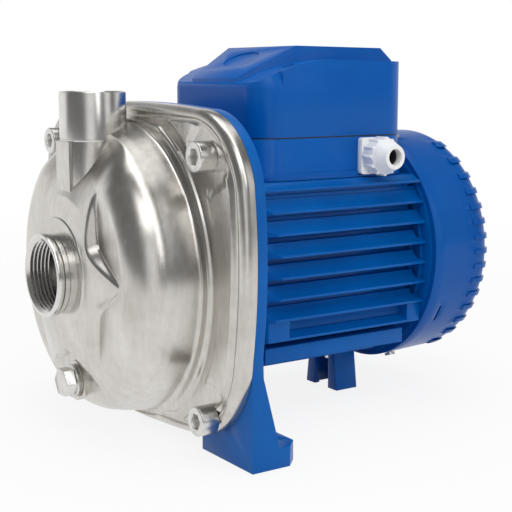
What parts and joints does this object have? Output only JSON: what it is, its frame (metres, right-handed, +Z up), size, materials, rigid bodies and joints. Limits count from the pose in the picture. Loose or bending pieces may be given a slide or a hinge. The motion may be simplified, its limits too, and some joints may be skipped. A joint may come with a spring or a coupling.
{
  "type": "close-coupled centrifugal pump",
  "caption": "Close-coupled end-suction centrifugal pump: pressed stainless casing, threaded ports, blue finned motor with terminal box and cable gland.",
  "frame": {"origin": "on the floor, midway between the bolt holes of the two front feet, under the shaft", "axes": "+X along the shaft from the suction port to the fan, +Y away from the cable gland, +Z up along the discharge port"},
  "size_m": [0.2791, 0.242, 0.2215],
  "materials": {
    "casing_steel": "satin pressed stainless steel",
    "port_steel": "turned stainless steel",
    "bolt_steel": "plain steel fasteners",
    "impeller_steel": "pressed and welded stainless steel",
    "blue_casting": "blue satin paint on die-cast aluminium",
    "blue_cover": "blue satin paint on drawn sheet",
    "blue_plastic": "blue moulded plastic",
    "white_plastic": "white nylon",
    "rubber": "black rubber",
    "seal_carbon": "carbon seal face",
    "seal_ceramic": "ceramic seat",
    "bearing_steel": "ground steel",
    "lamination": "stacked electrical steel",
    "copper": "copper and brass",
    "fan_plastic": "dark moulded plastic"
  },
  "bodies": {
    "housing": {"box_gasket": "rubber", "capacitor": "fan_plastic", "capacitor_clamp": "fan_plastic", "casing_o_ring": "rubber", "casing_screws": "bolt_steel", "discharge_socket": "port_steel", "drain_boss": "casing_steel", "drain_plug": "bolt_steel", "earth_screw": "bolt_steel", "fan_cover": "blue_cover", "fan_cover_screws": "bolt_steel", "front_bearing_outer": "bearing_steel", "gland_body": "white_plastic", "gland_seal": "rubber", "lid_screws": "bolt_steel", "motor_adapter": "blue_casting", "motor_frame": "blue_casting", "neck_ring": "port_steel", "pump_casing": "casing_steel", "rear_bearing_outer": "bearing_steel", "rear_foot": "blue_casting", "rear_foot_screw": "bolt_steel", "rear_shield": "blue_casting", "seal_disc": "casing_steel", "seal_seat": "seal_ceramic", "seal_seat_cup": "rubber", "stator_core": "lamination", "stator_windings": "copper", "suction_socket": "port_steel", "terminal_base": "blue_plastic", "terminal_board": "fan_plastic", "terminal_lid": "blue_plastic", "terminal_studs": "copper", "tie_rods": "bolt_steel", "wave_washer": "bolt_steel"},
    "rotor": {"motor_shaft": "bearing_steel", "rotor_core": "lamination", "impeller": "impeller_steel", "impeller_washer": "bolt_steel", "impeller_nut": "bolt_steel", "seal_rotor": "rubber", "seal_spring": "bolt_steel", "seal_face": "seal_carbon", "slinger": "rubber", "front_bearing_inner": "bearing_steel", "front_bearing_balls": "bearing_steel", "rear_bearing_inner": "bearing_steel", "rear_bearing_balls": "bearing_steel", "cooling_fan": "fan_plastic", "fan_clip": "bolt_steel"},
    "gland_ring": {"gland_nut": "white_plastic"}
  },
  "joints": [
    {"name": "shaft_spin", "type": "hinge", "parent": "housing", "child": "rotor", "pos_m": [-0.02, 0, 0.094], "axis": [1, 0, 0], "continuous": true},
    {"name": "gland_nut_turn", "type": "hinge", "parent": "housing", "child": "gland_ring", "pos_m": [0.11, -0.065, 0.1565], "axis": [0, -1, 0], "continuous": true}
  ]
}
